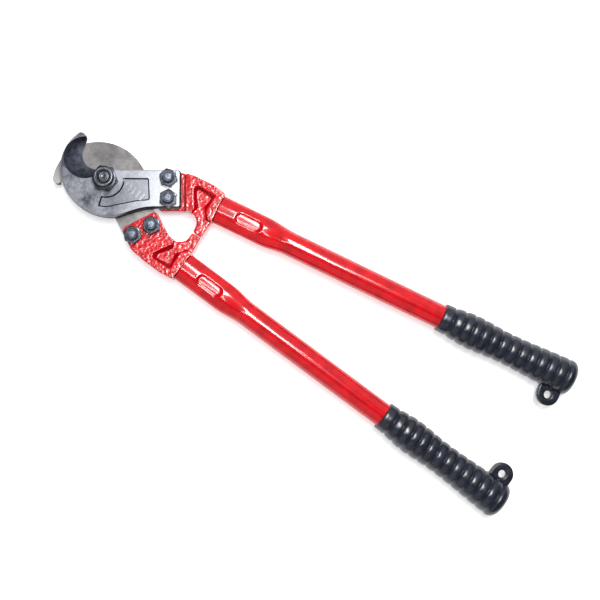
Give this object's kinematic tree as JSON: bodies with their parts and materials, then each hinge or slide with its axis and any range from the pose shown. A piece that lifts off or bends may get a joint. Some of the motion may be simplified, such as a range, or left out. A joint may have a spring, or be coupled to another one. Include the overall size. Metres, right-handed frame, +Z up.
{
  "type": "cable cutters",
  "caption": "Long-arm hand cutters: two hooked blades on one pivot bolt, each bolted to a red cast yoke, red tube handle and black ribbed grip with a hanging tab.",
  "frame": {"origin": "on the bench plane, half way along the tool and on its centreline", "axes": "+X from the jaws to the grips, +Y towards the upper handle (the front blade's), +Z up out of the nut side of the pivot"},
  "size_m": [0.4466, 0.143, 0.0382],
  "materials": {
    "blade_steel": "forged steel, ground outer face, dark oiled",
    "red_casting": "gloss red paint over a rough casting",
    "red_tube": "gloss red paint on smooth tube",
    "grip_rubber": "black soft vinyl, semi-gloss",
    "pivot_steel": "black oxide with bright turned edges",
    "black_steel": "black oxide",
    "lock_ring": "nylon, dark"
  },
  "bodies": {
    "lower_half": {"rear_blade": "blade_steel", "lower_casting": "red_casting", "lower_tube": "red_tube", "lower_grip": "grip_rubber", "pivot_bolt": "pivot_steel", "pivot_nut": "pivot_steel", "pivot_washer": "pivot_steel", "pivot_lock_ring": "lock_ring", "lower_outer_bolt": "black_steel", "lower_outer_nut": "black_steel", "lower_outer_lock_ring": "lock_ring", "lower_inner_bolt": "black_steel", "lower_inner_nut": "black_steel", "lower_inner_lock_ring": "lock_ring"},
    "upper_half": {"front_blade": "blade_steel", "upper_casting": "red_casting", "upper_tube": "red_tube", "upper_grip": "grip_rubber", "upper_outer_bolt": "black_steel", "upper_outer_nut": "black_steel", "upper_outer_lock_ring": "lock_ring", "upper_inner_bolt": "black_steel", "upper_inner_nut": "black_steel", "upper_inner_lock_ring": "lock_ring"}
  },
  "joints": [
    {"name": "pivot", "type": "hinge", "parent": "lower_half", "child": "upper_half", "pos_m": [-0.18197, 0, 0.017], "axis": [0, 0, 1], "range_deg": [0, 90]}
  ]
}
